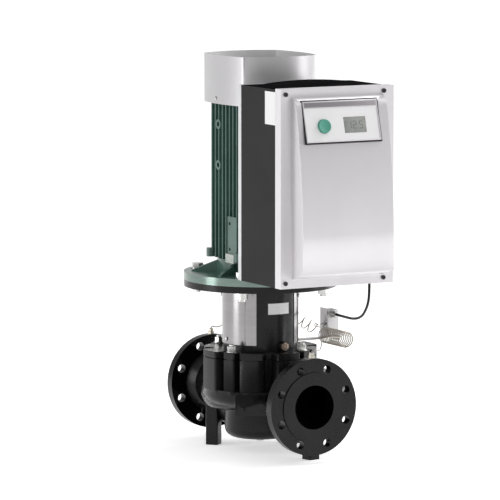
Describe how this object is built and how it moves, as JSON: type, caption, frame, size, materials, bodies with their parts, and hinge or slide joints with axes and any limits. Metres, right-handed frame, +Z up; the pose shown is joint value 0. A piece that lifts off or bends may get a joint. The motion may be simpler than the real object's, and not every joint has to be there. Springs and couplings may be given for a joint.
{
  "type": "in-line pump",
  "caption": "Vertical in-line centrifugal pump: cast casing with two opposed pipe flanges, lantern, finned motor with fan cowl, and a front electronics box with panel, display and push knob.",
  "frame": {"origin": "on the motor and pump shaft axis, at floor level, the plane on which the three casing feet stand", "axes": "+Z up along the shaft axis, -Y towards the front with the electronics box and the discharge flange, +X to the right seen from the front"},
  "size_m": [0.403, 0.65, 0.91],
  "materials": {
    "casing_black": "semi-gloss black paint over cast iron",
    "wear_brass": "turned bronze",
    "seal_rubber": "matt moulded rubber",
    "seal_ceramic": "lapped seat ring",
    "bolt_zinc": "zinc plated",
    "vent_brass": "dull brass",
    "plug_steel": "plain steel",
    "stainless_sheet": "bright rolled stainless sheet",
    "motor_green": "gloss dark green enamel over cast iron",
    "bearing_steel": "ground bearing steel",
    "lamination": "stacked electrical sheet",
    "winding_copper": "varnished copper winding",
    "cowl_grey": "satin light grey paint",
    "grille_black": "matt black paint",
    "entry_white": "moulded greyish white plastic",
    "adapter_black": "moulded black plastic",
    "sink_aluminium": "bare die-cast aluminium",
    "box_dark": "fine-grained dark grey plastic",
    "board_green": "lacquered circuit board",
    "cover_silver": "satin silver grey paint",
    "panel_grey": "satin mid grey",
    "panel_white": "smooth white front sheet",
    "display_dark": "grey-green display",
    "display_glass": "clear display window",
    "shaft_steel": "ground steel",
    "knob_green": "smooth green plastic",
    "sensor_steel": "plain metal body",
    "gland_black": "moulded black nylon",
    "lead_black": "smooth black cable sheath",
    "tap_nickel": "nickel-plated brass",
    "capillary_steel": "drawn bright tube",
    "label_white": "blank white film",
    "coupling_iron": "bare machined iron",
    "impeller_steel": "cast and polished stainless"
  },
  "bodies": {
    "pump_unit": {"volute_casing": "casing_black", "wear_ring": "wear_brass", "casing_cover": "casing_black", "casing_o_ring": "seal_rubber", "seal_seat": "seal_ceramic", "lantern": "casing_black", "casing_bolts": "bolt_zinc", "vent_plug": "vent_brass", "drain_plug": "plug_steel", "guard_left": "stainless_sheet", "guard_right": "stainless_sheet", "guard_screws": "bolt_zinc", "drive_end_shield": "motor_green", "flange_bolts": "bolt_zinc", "drive_bearing_outer": "bearing_steel", "motor_housing": "motor_green", "stator_core": "lamination", "stator_windings": "winding_copper", "rear_end_shield": "motor_green", "rear_bearing_outer": "bearing_steel", "fan_cowl": "cowl_grey", "cowl_grille": "grille_black", "cowl_screws": "bolt_zinc", "cable_entry_cover": "entry_white", "module_adapter": "adapter_black", "heat_sink": "sink_aluminium", "electronics_housing": "box_dark", "circuit_board": "board_green", "cover_gasket": "seal_rubber", "housing_cover": "cover_silver", "cover_screws": "bolt_zinc", "panel_frame": "panel_grey", "panel_face": "panel_white", "display_module": "display_dark", "display_lens": "display_glass", "sensor_bracket": "stainless_sheet", "pressure_sensor": "sensor_steel", "cable_glands": "gland_black", "sensor_lead": "lead_black", "tap_fittings": "tap_nickel", "discharge_capillary": "capillary_steel", "suction_capillary": "capillary_steel", "blank_labels": "label_white"},
    "rotor": {"motor_shaft": "shaft_steel", "rotor_core": "lamination", "drive_bearing_inner": "bearing_steel", "rear_bearing_inner": "bearing_steel", "cooling_fan": "gland_black", "coupling_half_front": "coupling_iron", "coupling_half_rear": "coupling_iron", "coupling_screws": "bolt_zinc", "pump_shaft": "shaft_steel", "seal_head": "coupling_iron", "seal_spring": "shaft_steel", "impeller": "impeller_steel", "impeller_nut": "bolt_zinc"},
    "drive_ball_set": {"drive_bearing_balls": "bearing_steel"},
    "rear_ball_set": {"rear_bearing_balls": "bearing_steel"},
    "knob_shaft": {"encoder_shaft": "shaft_steel"},
    "knob": {"control_knob": "knob_green"}
  },
  "joints": [
    {"name": "rotor_spin", "type": "hinge", "parent": "pump_unit", "child": "rotor", "pos_m": [0, 0, 0.6], "axis": [0, 0, 1], "continuous": true},
    {"name": "drive_ball_roll", "type": "hinge", "parent": "pump_unit", "child": "drive_ball_set", "pos_m": [0, 0, 0.4195], "axis": [0, 0, 1], "continuous": true},
    {"name": "rear_ball_roll", "type": "hinge", "parent": "pump_unit", "child": "rear_ball_set", "pos_m": [0, 0, 0.7985], "axis": [0, 0, 1], "continuous": true},
    {"name": "knob_turn", "type": "hinge", "parent": "pump_unit", "child": "knob_shaft", "pos_m": [-0.052, -0.38116, 0.7747], "axis": [0, -0.9659, 0.2588], "continuous": true},
    {"name": "knob_push", "type": "slide", "parent": "knob_shaft", "child": "knob", "axis": [0, 0.9659, -0.2588], "range_m": [0, 0.0015], "stiffness_N_per_m": 1500, "springref_m": -0.001}
  ],
  "couplings": [
    {"joint": "drive_ball_roll", "follows": "rotor_spin", "ratio": 0.38281},
    {"joint": "rear_ball_roll", "follows": "rotor_spin", "ratio": 0.38281}
  ]
}
